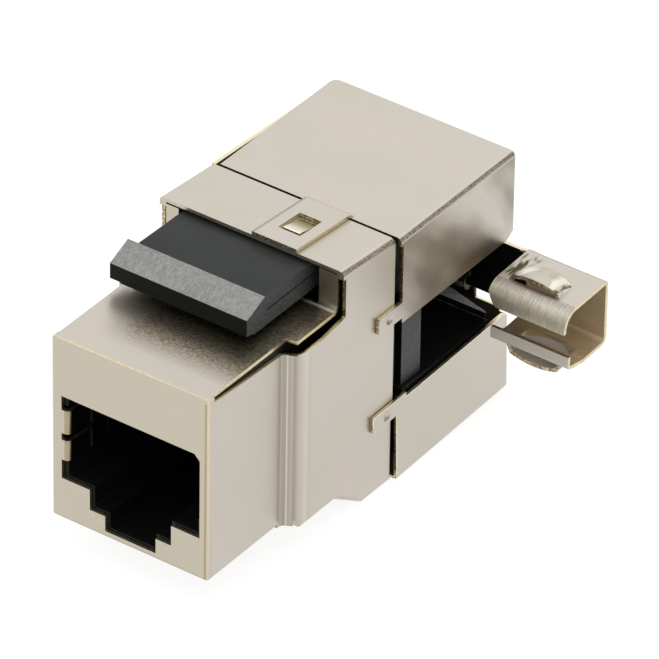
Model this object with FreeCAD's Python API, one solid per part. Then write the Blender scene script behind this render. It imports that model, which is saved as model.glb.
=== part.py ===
import FreeCAD, Part
import math
import os

# Shielded keystone jack with a modular socket in the nose, two hinged rear covers over punch-down
# terminals and a sheet-metal cable clamp that stands out on the right.
# Millimetres. +X right, +Y from the front face to the rear, +Z up.
# The origin is the middle of the nose's lower edge, in the plane of the front face.

Vec = FreeCAD.Vector

# Driving dimensions: sheet metal
sheet = 0.3                  # thickness of every sheet part
bend = 0.45                  # outside radius of the tight folds
roof_bend = 0.5              # outside radius where the right wall folds into the roof
roof_bend_left = 0.32

# Nose, the part that goes through the panel
nose_width = 14.5
nose_height = 16.35
nose_depth = 9.0
nose_edge_left = 0.2         # radius of the face's upright edges
nose_edge_right = 0.5
nose_edge_top = 0.18
shoulder_depth = 9.55        # the side walls are out at full width from about here
shoulder_hollow = 0.5        # radii of the two opposite bends of the shoulder
shoulder_bend = 1.1
shoulder_drop = 0.3          # the body's floor lies this far under the nose's floor

# Body behind the shoulder
body_half = 8.45
body_front = 14.9            # the riser that the latch comes out of
body_rear = 21.45
body_top = 20.0              # height of the roof at the riser
roof_drop = 0.55             # the roof comes down this much towards the rear covers
riser_bend = 0.45            # radius where the roof plate turns up into the riser
body_floor = -2.6
low_wall_rear = 21.25        # the right wall ends a little earlier below low_wall_top
low_wall_top = 3.2
ramp_front = 14.3            # the floor ramps down between these two
ramp_rear = 17.85

# Seams between the roof plate and the side walls
roof_half = 6.92             # half width of the nose's roof plate
roof_wide_half = 7.85        # half width of the roof plate behind the shoulder
roof_step = 9.8

# Latch opening in the riser
opening_left = -6.7
opening_right = 6.2

# Socket
socket_half = 6.35
socket_top = 11.1
socket_floor = 3.65
channel_half = 3.75          # first step of the channel for the plug's clip
channel_floor = 1.85
slot_half = 2.33             # second step
slot_floor = 0.52
tab_reach_left = 5.72        # the two side springs on the left stand this far in at the face
tab_reach_right = 6.2

# Rear covers
cover_left = -8.03
cover_right = 8.78
cover_front = 21.8
cover_wall_front = 22.05     # the upper cover's side walls start here
cover_rear = 36.5
cover_top = 19.37
cover_edge = 11.7            # lower edge of the upper cover's side walls
rear_wall_edge = 12.3        # lower edge of its rear wall, which jogs in to the hinge below
cover_fold_left = 0.15       # radii of the upper cover's folds beside the plate
cover_fold_right = 0.45
low_cover_front = 21.5
low_cover_rear = 36.35
low_cover_floor = -2.12
low_cover_fold = 0.25
low_cover_corner = 0.55      # radius of its two upright rear corners
low_cover_edge = 5.0         # upper edge of the lower cover's side walls
low_cover_sag = 1.9          # degrees that the lower cover hangs open at rest

# Cable clamp and its strap
strap_floor = 6.2
strap_top = 11.35
strap_rear = 36.05
clamp_left = 10.6
clamp_right = 17.7
web_middle = 36.13           # middle plane of the clamp's rear web, behind the strap's plane
web_top = 11.33              # middle heights of its two folds
web_floor = 5.9
roll_front = 30.65           # the upper flange rolls down in front, in this middle plane
louvre_ball = 6.4            # outside radius of the two louvres pressed out of the flanges
louvre_half = 2.5

# Cover hinges: curled knuckles that hook round the strap's upper and lower margins
margin = 0.7                 # height of the strap's margin that the knuckles turn on
knuckle_inner = 0.52
knuckle_outer = 0.82
knuckle_width = 3.9
knuckle_places = (-6.55, 1.5)
slot_play = 0.2              # at both ends of a slot
slot_far = knuckle_outer + 0.13
slot_near = knuckle_inner - 0.1
hinge_y = strap_rear - sheet / 2
upper_hinge_z = strap_top - margin / 2
lower_hinge_z = strap_floor + margin / 2

# Latch
latch_left = -6.35
latch_right = 5.25
latch_lip_top = 19.6
latch_top = 19.47
latch_hinge_y = 19.2
latch_hinge_z = 18.6
latch_bead = 0.6

# Socket contacts
contact_count = 8
contact_pitch = 1.016
contact_size = 0.35
contact_hinge_y = 17.2
contact_hinge_z = 12.2
contact_bead = 0.42

# Inner parts
board_front = 18.4
board_rear = 19.6
core_middle = 8.2            # the rear half is the same above and below this height
blade_count = 4
blade_pitch = 3.2
blade_y = 28.0


# ---- helpers -------------------------------------------------------------------------------------

def box(x0, x1, y0, y1, z0, z1):
    return Part.makeBox(x1 - x0, y1 - y0, z1 - z0, Vec(x0, y0, z0))


def across_x(outline, x0, x1):
    """Solid whose side view, a list of (y, z), runs from x0 to x1."""
    points = [Vec(x0, y, z) for y, z in outline]
    return Part.Face(Part.makePolygon(points + points[:1])).extrude(Vec(x1 - x0, 0, 0))


def across_y(outline, y0, y1):
    """Solid whose front view, a list of (x, z), runs from y0 to y1."""
    points = [Vec(x, y0, z) for x, z in outline]
    return Part.Face(Part.makePolygon(points + points[:1])).extrude(Vec(0, y1 - y0, 0))


def across_z(outline, z0, z1):
    """Solid whose plan, a list of (x, y), runs from z0 to z1."""
    points = [Vec(x, y, z0) for x, y in outline]
    return Part.Face(Part.makePolygon(points + points[:1])).extrude(Vec(0, 0, z1 - z0))


def rod(radius, x0, x1, y, z):
    return Part.makeCylinder(radius, x1 - x0, Vec(x0, y, z), Vec(1, 0, 0))


def fuse(shapes):
    return shapes[0].multiFuse(shapes[1:]).removeSplitter()


def round_edges(shape, radius, wanted):
    """Fillet every straight edge for which wanted(middle point, direction) is true."""
    edges = []
    for edge in shape.Edges:
        if edge.Curve.TypeId != "Part::GeomLine":
            continue
        start, end = edge.Vertexes[0].Point, edge.Vertexes[-1].Point
        if wanted((start + end) * 0.5, (end - start).normalize()):
            edges.append(edge)
    return shape.makeFillet(radius, edges)


def folded_face(path, radii, place):
    """Face of a folded sheet seen end on.

    path is the middle line's corners, radii the bend radius on the middle line at each inner
    corner, and place turns a flat (u, v) into a point in space.
    """
    half = sheet / 2

    def side(offset):
        run = []
        u, v = path[0]
        du, dv = unit(path[0], path[1])
        run.append(("point", (u - dv * offset, v + du * offset)))
        for before, corner, after, radius in zip(path, path[1:], path[2:], radii):
            d1 = unit(before, corner)
            d2 = unit(corner, after)
            cross = d1[0] * d2[1] - d1[1] * d2[0]
            turn = math.atan2(cross, d1[0] * d2[0] + d1[1] * d2[1])
            hand = 1 if turn > 0 else -1
            reach = radius * math.tan(abs(turn) / 2)
            start = (corner[0] - d1[0] * reach, corner[1] - d1[1] * reach)
            end = (corner[0] + d2[0] * reach, corner[1] + d2[1] * reach)
            centre = (start[0] - d1[1] * hand * radius, start[1] + d1[0] * hand * radius)
            out = unit(centre, corner)
            bow = radius - hand * offset
            run.append(("arc",
                        (start[0] - d1[1] * offset, start[1] + d1[0] * offset),
                        (centre[0] + out[0] * bow, centre[1] + out[1] * bow),
                        (end[0] - d2[1] * offset, end[1] + d2[0] * offset)))
        du, dv = unit(path[-2], path[-1])
        u, v = path[-1]
        run.append(("point", (u - dv * offset, v + du * offset)))
        return run

    def edges(run):
        made = []
        last = place(*run[0][1])
        for piece in run[1:]:
            first = place(*piece[1])
            if last.distanceToPoint(first) > 1e-6:
                made.append(Part.LineSegment(last, first).toShape())
            last = first
            if piece[0] == "arc":
                last = place(*piece[3])
                made.append(Part.Arc(first, place(*piece[2]), last).toShape())
        return made, place(*run[0][1]), last

    left, left_start, left_end = edges(side(half))
    right, right_start, right_end = edges(side(-half))
    caps = [Part.LineSegment(left_start, right_start).toShape(),
            Part.LineSegment(left_end, right_end).toShape()]
    return Part.Face(Part.Wire(Part.__sortEdges__(left + right + caps)))


def unit(a, b):
    length = math.hypot(b[0] - a[0], b[1] - a[1])
    return ((b[0] - a[0]) / length, (b[1] - a[1]) / length)


def folded_across_x(path, radii, x0, x1):
    face = folded_face(path, radii, lambda y, z: Vec(x0, y, z))
    return face.extrude(Vec(x1 - x0, 0, 0))


def folded_across_z(path, radii, z0, z1):
    face = folded_face(path, radii, lambda x, y: Vec(x, y, z0))
    return face.extrude(Vec(0, 0, z1 - z0))


# ---- front shield: one folded sheet --------------------------------------------------------------

def roof_z(y):
    """Height of the sloping roof above depth y."""
    return body_top - roof_drop * (y - body_front) / (body_rear - body_front)


def plan_prism(inset, rear, low, high):
    """The shield seen from above: narrow nose, S-shaped shoulders, then full width."""
    narrow = nose_width / 2 - inset
    wide = body_half - inset
    prism = across_z([(-narrow, inset), (narrow, inset), (narrow, nose_depth + inset),
                      (wide, shoulder_depth + inset), (wide, rear), (-wide, rear),
                      (-wide, shoulder_depth + inset), (-narrow, nose_depth + inset)], low, high)
    prism = round_edges(prism, shoulder_hollow + inset, lambda p, d: (
        abs(d.z) > 0.99 and abs(p.y - nose_depth - inset) < 0.01))
    prism = round_edges(prism, shoulder_bend - inset, lambda p, d: (
        abs(d.z) > 0.99 and abs(p.y - shoulder_depth - inset) < 0.01))
    if inset:
        return prism
    prism = round_edges(prism, nose_edge_right, lambda p, d: p.y < 0.01 and p.x > narrow - 0.01)
    return round_edges(prism, nose_edge_left, lambda p, d: p.y < 0.01 and p.x < 0.01 - narrow)


def body_side(inset, rear):
    """Side view of the body: low in front under the latch, full height behind the riser."""
    front = roof_step + inset
    slope = inset * 0.35
    return [(front, -shoulder_drop + inset), (ramp_front + slope, -shoulder_drop + inset),
            (ramp_rear + slope, body_floor + inset), (rear, body_floor + inset),
            (rear, roof_z(rear) - inset), (body_front + inset, body_top - inset),
            (body_front + inset, nose_height - inset), (front, nose_height - inset)]


def body_block(inset, rear):
    body = across_x(body_side(inset, rear), inset - body_half, body_half - inset)
    for side, radius in ((-1, roof_bend_left), (1, roof_bend)):
        if radius > inset + 0.05:
            body = round_edges(body, radius - inset, lambda p, d: (
                abs(d.y) > 0.99 and p.z > nose_height + 1 and p.x * side > 0))
    return round_edges(body, riser_bend + inset, lambda p, d: (
        abs(d.x) > 0.99 and abs(p.y - body_front - inset) < 0.01 and p.z < nose_height + 1))


def shield_shell():
    nose = plan_prism(0, body_front, 0, nose_height)
    front_view = across_x([(0, 0), (body_front, 0), (body_front, nose_height),
                           (0, nose_height)], -9, 9)
    front_view = round_edges(front_view, nose_edge_top, lambda p, d: p.y < 0.01 and abs(d.x) > 0.9)
    nose = nose.common(front_view)
    half = nose_width / 2
    for side in (-1, 1):
        span = sorted((side * (half - bend), side * (half + 0.1)))
        corner = box(*span, -0.1, nose_depth - 0.5, -0.1, bend)
        centre = Vec(side * (half - bend), -0.2, bend)
        corner = corner.cut(Part.makeCylinder(bend, nose_depth, centre, Vec(0, 1, 0)))
        nose = nose.cut(corner)
    body = body_block(0, body_rear)
    body = round_edges(body, bend, lambda p, d: (
        abs(d.x) < 0.01 and p.z < 0 and abs(p.x) > body_half - 0.01 and abs(d.y) > 0.5))
    body = body.common(plan_prism(0, body_rear + 1, body_floor - 1, body_top + 1))
    inside = plan_prism(sheet, body_front + sheet, sheet, nose_height - sheet)
    return nose.fuse(body).cut(inside).cut(body_block(sheet, body_rear + 1))


def seam(side):
    """Gap between the roof plate's edge and the side wall, which widens towards the riser."""
    beyond = body_half + 1
    wall_front = body_front + 0.3
    plan = [(side * x, y) for x, y in (
        (roof_half, 0.55), (beyond, 0.55), (beyond, wall_front),
        (body_half - sheet, wall_front), (body_half - sheet, wall_front + 0.1),
        (roof_wide_half, wall_front + 0.1), (roof_wide_half, roof_step + 0.15),
        (roof_half, roof_step))]
    above_wall = [(0.4, 15.9), (nose_depth, 15.5), (shoulder_depth, 15.42), (12.6, 15.45),
                  (body_front, 15.8), (wall_front + 0.1, 15.9), (wall_front + 0.1, 19.3),
                  (0.4, 19.3)]
    return across_z(plan, 14, 19.3).common(across_x(above_wall, -beyond, beyond))


def socket_outline(grow=0.0):
    """Socket as cut in the face: plug space above, two steps for the plug's clip below."""
    return [(-socket_half, socket_floor), (-channel_half, socket_floor),
            (-channel_half, channel_floor), (-slot_half, channel_floor),
            (-slot_half, slot_floor), (slot_half, slot_floor), (slot_half, channel_floor),
            (channel_half, channel_floor), (channel_half, socket_floor),
            (socket_half, socket_floor), (socket_half, socket_top - 0.5),
            (socket_half - 0.5, socket_top), (-socket_half, socket_top)]


def side_spring(side, reach, z0, z1):
    """Spring cut from the face beside the socket and folded in to touch the plug's shield."""
    path = [(side * (socket_half + 0.35), sheet / 2), (side * (reach + sheet / 2), sheet / 2),
            (side * (reach - 0.05), 2.6), (side * (reach + 0.35), 4.4)]
    return folded_across_z(path, [0.25, 1.0], z0, z1)


def left_arm():
    """The left wall carries on to the rear, where the clamp's strap is fixed."""
    top = roof_z(body_rear)
    outline = [(body_rear, body_floor + 0.5), (32.6, body_floor + 0.9), (35.2, 4.6),
               (strap_rear, strap_floor), (strap_rear, strap_top), (35.5, 12.6),
               (35.5, top - 0.15), (body_rear, top)]
    arm = across_x(outline, -body_half, sheet - body_half)
    return round_edges(arm, 0.4, lambda p, d: abs(d.x) > 0.99 and 32 < p.y < 35.6)


def roof_catch():
    """Lanced wedge on the roof that the upper cover's tongue snaps over."""
    wedge = [(16.95, roof_z(16.95) - 0.1), (19.15, roof_z(19.15) - 0.1), (19.15, roof_z(19.15)),
             (17.15, roof_z(17) + 0.28), (16.95, roof_z(17) + 0.28)]
    return across_x(wedge, 1.4, 2.93)


def front_shield():
    shell = shield_shell()
    for side in (-1, 1):
        shell = shell.cut(seam(side))
    riser = (body_front - 0.2, body_front + sheet + 0.05)
    shell = shell.cut(box(opening_left, opening_right, *riser, nose_height, body_top - sheet))
    slit = box(-roof_wide_half, roof_wide_half, *riser, body_top - sheet - 0.15, body_top - sheet)
    shell = shell.cut(slit)
    shell = shell.cut(across_y(socket_outline(), -1, sheet + 0.01))
    for side in (-1, 1):
        relief = sorted((side * 7.3, side * (body_half + 0.1)))
        shell = shell.cut(box(*relief, shoulder_depth - 0.15, roof_step + 0.1, -0.4, 0.5))
    shell = shell.cut(box(7.5, 9, low_wall_rear, 22, body_floor + 0.6, low_wall_top))
    springs = []
    for side, reach in ((-1, tab_reach_left), (1, tab_reach_right)):
        springs.append(side_spring(side, reach, 7.75, 9.85))
        springs.append(side_spring(side, reach, 5.35, 7.15))
    return fuse([shell, left_arm(), roof_catch()] + springs)


# ---- cable clamp: strap across the rear and open channel on the right ----------------------------

def louvre(middle_x, front, peak, way):
    """Half scoop pressed out of a flange, open towards the front, for a cable tie."""
    made = []
    for inset in (0, sheet):
        ball = Part.makeSphere(louvre_ball - inset,
                               Vec(middle_x, front, peak - way * louvre_ball))
        wide = louvre_half - inset
        flanks = across_y([(middle_x - wide, peak - way * 1.15), (middle_x + wide, peak - way * 1.15),
                           (middle_x + wide - 0.65, peak + way * 0.2),
                           (middle_x - wide + 0.65, peak + way * 0.2)], front, front + 5)
        made.append(ball.common(flanks))
    return made


def upper_flange():
    """Flange above the cable, rolled down in front, its lip cut slanting on the left."""
    flange = folded_across_x([(web_middle, 8.5), (web_middle, web_top), (roll_front, web_top - 0.2),
                              (roll_front - 0.03, 9.55)], [0.22, 1.4], clamp_left, clamp_right)
    slant = [(clamp_left - 0.1, 10.6), (clamp_left + 0.05, 10.6), (clamp_left + 0.85, 9.4),
             (clamp_left - 0.1, 9.4)]
    return flange.cut(across_y(slant, roll_front - 0.5, roll_front + 0.6))


def lower_flange():
    """Flange under the cable, with a low lip in front."""
    return folded_across_x([(web_middle, 8.6), (web_middle, web_floor), (33.2, 5.75),
                            (31.25, 6.12), (31.33, 7.1)], [0.5, 2.0, 0.3],
                           clamp_left, clamp_right)


def cable_clamp():
    middle = strap_rear - sheet / 2
    left = sheet - body_half
    strap = folded_across_z([(left, middle), (10.0, middle), (10.75, web_middle),
                             (11.4, web_middle)], [0.3, 0.3], strap_floor, strap_top)
    fixing = box(left, left + sheet, 31.6, strap_rear, strap_floor + 0.3, strap_top - 0.3)
    for x in knuckle_places:
        span = (x - slot_play, x + knuckle_width + slot_play)
        wall = (strap_rear - sheet - 0.1, strap_rear + 0.1)
        strap = strap.cut(box(*span, *wall, upper_hinge_z - slot_far, upper_hinge_z - slot_near))
        strap = strap.cut(box(*span, *wall, lower_hinge_z + slot_near, lower_hinge_z + slot_far))
    upper_scoop, upper_hollow = louvre(13.8, 32.1, 12.1, 1)
    lower_scoop, lower_hollow = louvre(14.35, 31.45, 4.8, -1)
    channel = fuse([upper_flange(), lower_flange(), upper_scoop, lower_scoop])
    channel = channel.cut(upper_hollow).cut(lower_hollow)
    return fuse([channel, strap, fixing])


# ---- rear covers ---------------------------------------------------------------------------------

def knuckle(x, hinge_z, way):
    """Curl round the strap's margin, from the cover's rear wall over the inside and out again."""
    ring = rod(knuckle_outer, x, x + knuckle_width, hinge_y, hinge_z)
    ring = ring.cut(rod(knuckle_inner, x - 1, x + knuckle_width + 1, hinge_y, hinge_z))
    far = 2.0
    mouth = [(hinge_y, hinge_z)]
    for angle in (62, 0, -55):
        turn = math.radians(angle) * way
        mouth.append((hinge_y + far * math.cos(turn), hinge_z + far * math.sin(turn)))
    return ring.cut(across_x(mouth, x - 1, x + knuckle_width + 1))


def side_tab(front, low, high, dimple_y, dimple_z):
    """Tab of a cover's right wall that laps over the body and snaps in with a dimple."""
    outline = [(cover_front + 1, low), (front, low), (front, high), (cover_front + 1, high)]
    tab = across_x(outline, cover_right - sheet, cover_right)
    tab = round_edges(tab, 0.2, lambda p, d: abs(d.x) > 0.99 and p.y < front + 0.01)
    pit = Part.makeSphere(0.7, Vec(cover_right + 0.52, dimple_y, dimple_z))
    return tab, pit


def cover_box(outer, front, rear, low, high, folds):
    """Block with the radii given in folds, outside or (less the sheet) inside."""
    inset = 0 if outer else sheet
    block = box(cover_left + inset, cover_right - inset, front, rear - inset, low, high)
    for radius, wanted in folds:
        if radius > inset + 0.01:
            block = round_edges(block, radius - inset, wanted)
    return block


def open_corners(shell, rear, edge_z, way):
    """The side walls are cut back slanting beside the hinge."""
    corner = [(rear - 0.95, edge_z - way * 0.1), (rear + 0.1, edge_z - way * 0.1),
              (rear + 0.1, edge_z + way * 0.6)]
    for x in (cover_left - 0.1, cover_right - 0.8):
        shell = shell.cut(across_x(corner, x, x + 0.9))
    return shell


def upper_cover():
    folds = [(cover_fold_right, lambda p, d: abs(d.y) > 0.99 and p.x > 8 and p.z > 18),
             (cover_fold_left, lambda p, d: abs(d.y) > 0.99 and p.x < -7 and p.z > 18)]
    shell = cover_box(True, cover_front, cover_rear, cover_edge, cover_top, folds)
    shell = shell.cut(cover_box(False, cover_front - 1, cover_rear, cover_edge - 1,
                                cover_top - sheet, folds))
    shell = shell.cut(box(cover_left - 1, cover_right + 1, cover_front - 1, cover_wall_front,
                          cover_edge - 1, cover_top - 0.7))
    shell = shell.cut(box(cover_left + sheet, cover_right - sheet, cover_rear - 1, cover_rear + 1,
                          cover_edge - 1, rear_wall_edge))
    shell = open_corners(shell, cover_rear, cover_edge, 1)
    middle = cover_rear - sheet / 2
    end = upper_hinge_z + 0.6
    pieces = [shell]
    for x in knuckle_places:
        pieces.append(folded_across_x([(middle, rear_wall_edge + 0.5), (middle, rear_wall_edge),
                                       (36.2, rear_wall_edge - 0.3), (36.2, end)],
                                      [0.17, 0.17], x - 0.3, x + knuckle_width + 0.3))
        pieces.append(knuckle(x, upper_hinge_z, 1))
    tab, pit = side_tab(19.05, 12.15, 13.55, 20.5, 12.85)
    over = 0.03 + sheet / 2
    tongue = folded_across_x([(14.87, roof_z(14.87) + over), (21.58, roof_z(21.58) + over),
                              (22.12, cover_top - sheet / 2), (23.3, cover_top - sheet / 2)],
                             [0.2, 0.2], 0.05, 4.15)
    cover = fuse(pieces + [tab, tongue]).cut(pit)
    return cover.cut(box(1.15, 3.18, 16.65, 19.43, body_top - 1, body_top + 1))


def lower_cover():
    folds = [(low_cover_corner, lambda p, d: abs(d.z) > 0.99 and p.y > 36),
             (low_cover_fold, lambda p, d: abs(d.z) < 0.01 and p.z < -1 and p.y > low_cover_front)]
    shell = cover_box(True, low_cover_front, low_cover_rear, low_cover_floor, low_cover_edge, folds)
    inner_folds = folds[:1]
    shell = shell.cut(cover_box(False, low_cover_front - 1, low_cover_rear,
                                low_cover_floor + sheet, low_cover_edge + 1, inner_folds))
    shell = open_corners(shell, low_cover_rear, low_cover_edge, -1)
    pieces = [shell]
    for x in knuckle_places:
        pieces.append(box(x - 0.3, x + knuckle_width + 0.3, low_cover_rear - sheet,
                          low_cover_rear, low_cover_edge - 1, lower_hinge_z - 0.6))
        pieces.append(knuckle(x, lower_hinge_z, -1))
    tab, pit = side_tab(18.5, 3.95, 5.4, 20.3, 4.65)
    cover = fuse(pieces + [tab]).cut(pit)
    cover.rotate(Vec(0, hinge_y, lower_hinge_z), Vec(1, 0, 0), low_cover_sag)
    return cover


# ---- latch ---------------------------------------------------------------------------------------

def latch():
    """Moulded spring arm with a sloped lip, hollow underneath, on a round root bead."""
    rib = 0.85
    under = latch_top - 1.1
    arm = across_x([(8.6, latch_lip_top - 0.3), (9.43, latch_lip_top), (body_front, latch_top),
                    (16.2, latch_top - 0.03), (latch_hinge_y, latch_hinge_z + 0.55),
                    (latch_hinge_y, latch_hinge_z - 0.5), (16.2, under), (8.6, under)],
                   latch_left, latch_right)
    ribs = []
    for x in (latch_left, latch_right - rib):
        ribs.append(box(x, x + rib, 8.0, 17.2, 16.95, latch_top - 0.5))
    lip = [(9.43, latch_lip_top), (7.2, 18.65), (7.2, 17.2), (8.1, 17.05), (8.1, 17.9),
           (8.8, under), (9.43, under)]
    lips = [across_x(lip, latch_left, latch_right)]
    ear = [(9.43, latch_lip_top), (7.2, 18.65), (7.2, 17.3), (9.43, 17.6)]
    lips.append(across_x(ear, latch_left - 0.95, latch_left + 0.1))
    bead = rod(latch_bead, latch_left, latch_right, latch_hinge_y, latch_hinge_z)
    body = fuse([arm, bead] + ribs + lips)
    groove = box(latch_right - 0.12, latch_right + 1, 9.6, 16, under - 0.15, under)
    return body.cut(groove)


# ---- socket housing and contacts -----------------------------------------------------------------

def contact_place(number):
    return (number - (contact_count - 1) / 2) * contact_pitch


def plug_housing():
    """Moulded socket: plug space, clip channel, spring recesses and a pocket for the carrier."""
    half = nose_width / 2 - sheet - 0.05
    body = box(-half, half, sheet + 0.05, 9.1, 0.35, nose_height - sheet - 0.05)
    body = fuse([body, box(-half, half, 9.0, 14.8, 0.35, nose_height - sheet - 0.05)])
    steps = [(-5.95, 3.85), (-3.55, 3.85), (-3.55, 2.05), (-2.15, 2.05), (-2.15, 0.72),
             (2.15, 0.72), (2.15, 2.05), (3.55, 2.05), (3.55, 3.85), (5.95, 3.85),
             (5.95, 11.0), (-5.95, 11.0)]
    body = body.cut(across_y(steps, 0, 12.9))
    for side in (-1, 1):
        recess = sorted((side * 5.5, side * 7.5))
        body = body.cut(box(*recess, 0, 5.2, 5.1, 10.1))
    body = body.cut(box(-5.4, 5.4, 3.1, 15, 10.9, 15.0))
    mouth = [(0.2, 10.9), (3.2, 10.9), (3.2, 11.4), (0.2, 12.0)]
    return body.cut(across_x(mouth, -4.4, 4.4))


def contact_carrier():
    """Comb that guides the eight contacts between the socket and the board."""
    body = box(-5.35, 5.35, 3.2, board_front, 11.05, 14.95)
    tools = []
    for number in range(contact_count):
        x = contact_place(number)
        tools.append(box(x - 0.31, x + 0.31, 3.0, 16.4, 11.0, 13.3))
        tools.append(box(x - 0.31, x + 0.31, 16.3, board_front + 1, 11.65, 13.3))
    for tool in tools:
        body = body.cut(tool)
    return body


def contact(number):
    """Spring contact: it runs forward in the comb, then down into the plug's path."""
    x = contact_place(number)
    half = contact_size / 2
    wide = sheet
    path = [(board_front - 0.12, contact_hinge_z), (12.6, contact_hinge_z), (4.7, 9.0),
            (3.75, 9.75)]
    wire = folded_across_x(path, [1.2, 0.5], x - half, x + half)
    bead = rod(contact_bead, x - half, x + half, contact_hinge_y, contact_hinge_z)
    return fuse([wire, bead])


# ---- rear inside: board, core, terminal blocks and blades ----------------------------------------

def mirrored(shape):
    return shape.mirror(Vec(0, 0, core_middle), Vec(0, 0, 1))


def blade_place(number):
    return (number - (blade_count - 1) / 2) * blade_pitch


def circuit_board():
    board = box(-7.7, 7.7, board_front, board_rear, -1.9, 16.2)
    return round_edges(board, 0.8, lambda p, d: abs(d.y) > 0.99)


def blade_channels(grow):
    """Room for the blades' legs, which run forward to the board above and below the core."""
    made = []
    for number in range(blade_count):
        x = blade_place(number)
        leg = box(x - 0.5 - grow, x + 0.5 + grow, board_rear - 0.1, blade_y + 0.4 + grow,
                  12.5 - grow, 12.9 + grow)
        made += [leg, mirrored(leg)]
    return made


def latch_seat():
    """Saddle above the board that holds the latch's root bead."""
    seat = box(-7.6, 7.6, 17.8, 21.2, 16.4, roof_z(21.2) - sheet - 0.1)
    room = box(latch_left - 0.15, latch_right + 0.15, 17.0, latch_hinge_y,
               latch_hinge_z - 0.8, 20.5)
    cradle = rod(latch_bead + 0.06, latch_left - 0.15, latch_right + 0.15,
                 latch_hinge_y, latch_hinge_z)
    above = box(latch_left - 0.15, latch_right + 0.15, latch_hinge_y - 0.1,
                latch_hinge_y + latch_bead + 0.06, latch_hinge_z, 20.5)
    return seat.cut(room).cut(cradle).cut(above)


def wiring_core():
    """Black frame behind the board: front wall, cable bay open to the right, and side ribs."""
    wall = box(-8.1, 8.1, board_rear, 21.2, -1.7, 16.4)
    neck = box(-7.5, 7.5, 21.1, 23.0, -1.2, 15.6)
    web = box(-7.5, 1.8, 22.9, 34.3, 4.9, 11.5)
    roof = box(-7.5, 8.3, 22.9, 34.3, 11.4, 12.2)
    rib = box(6.9, 7.9, 23.3, 25.8, 4.2, 12.2)
    thin_rib = box(1.7, 2.6, 29.2, 29.8, 4.9, 11.5)
    guide = across_z([(-7.5, 34.2), (8.0, 34.2), (8.0, 34.35), (4.1, 35.4), (-7.5, 35.4)],
                     4.2, 5.57)
    body = fuse([wall, neck, web, roof, mirrored(roof), rib, thin_rib, guide, latch_seat()])
    for leg in blade_channels(0.08):
        body = body.cut(leg)
    return body


def terminal_block_upper():
    """Four wire slots, each across a blade, with notched posts between them."""
    block = box(-6.6, 6.6, 23.3, 33.6, 12.2, 17.9)
    block = round_edges(block, 0.5, lambda p, d: p.z > 17.89)
    tools = blade_channels(0.08)[::2]
    for number in range(blade_count):
        x = blade_place(number)
        tools.append(box(x - 0.5, x + 0.5, 22, 35, 14.3, 18.5))
        tools.append(box(x - 1.18, x + 1.18, blade_y - 0.08, blade_y + 0.48, 12.0, 17.3))
        tools.append(across_y([(x - 0.5, 17.0), (x - 1.0, 18.5), (x + 1.0, 18.5),
                               (x + 0.5, 17.0)], 22, 35))
    for tool in tools:
        block = block.cut(tool)
    return block


def idc_blade(number):
    """Forked blade that cuts into the wire, with a leg to the board."""
    x = blade_place(number)
    fork = box(x - 1.1, x + 1.1, blade_y, blade_y + 0.4, 12.5, 17.1)
    slit = box(x - 0.17, x + 0.17, blade_y - 1, blade_y + 1, 14.0, 18)
    mouth = across_y([(x - 0.17, 16.2), (x - 0.8, 17.5), (x + 0.8, 17.5), (x + 0.17, 16.2)],
                     blade_y - 1, blade_y + 1)
    leg = box(x - 0.5, x + 0.5, board_rear, blade_y + 0.4, 12.5, 12.9)
    return fuse([fork.cut(slit).cut(mouth), leg])


# ---- all parts -----------------------------------------------------------------------------------

def build():
    parts = {
        "front_shield": front_shield(),
        "cable_clamp": cable_clamp(),
        "upper_cover": upper_cover(),
        "lower_cover": lower_cover(),
        "latch": latch(),
        "plug_housing": plug_housing(),
        "contact_carrier": contact_carrier(),
        "circuit_board": circuit_board(),
        "wiring_core": wiring_core(),
        "terminal_block_upper": terminal_block_upper(),
        "terminal_block_lower": mirrored(terminal_block_upper()),
    }
    for number in range(contact_count):
        parts[f"contact_{number + 1}"] = contact(number)
    for number in range(blade_count):
        parts[f"idc_blade_{number + 1}"] = idc_blade(number)
        parts[f"idc_blade_{number + 1 + blade_count}"] = mirrored(idc_blade(number))
    return parts


os.makedirs("parts", exist_ok=True)
for name, shape in build().items():
    solids = len(shape.Solids)
    print(name, "solids", solids, "valid", shape.isValid(), "volume", round(shape.Volume, 2))
    shape.exportStep(f"parts/{name}.step")
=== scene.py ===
"""Looks of a shielded keystone jack, laid out as an add-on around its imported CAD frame."""

import math

import bmesh
import bpy
from bpy.props import FloatProperty, FloatVectorProperty, IntProperty, PointerProperty
from mathutils import Matrix, Vector


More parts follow.
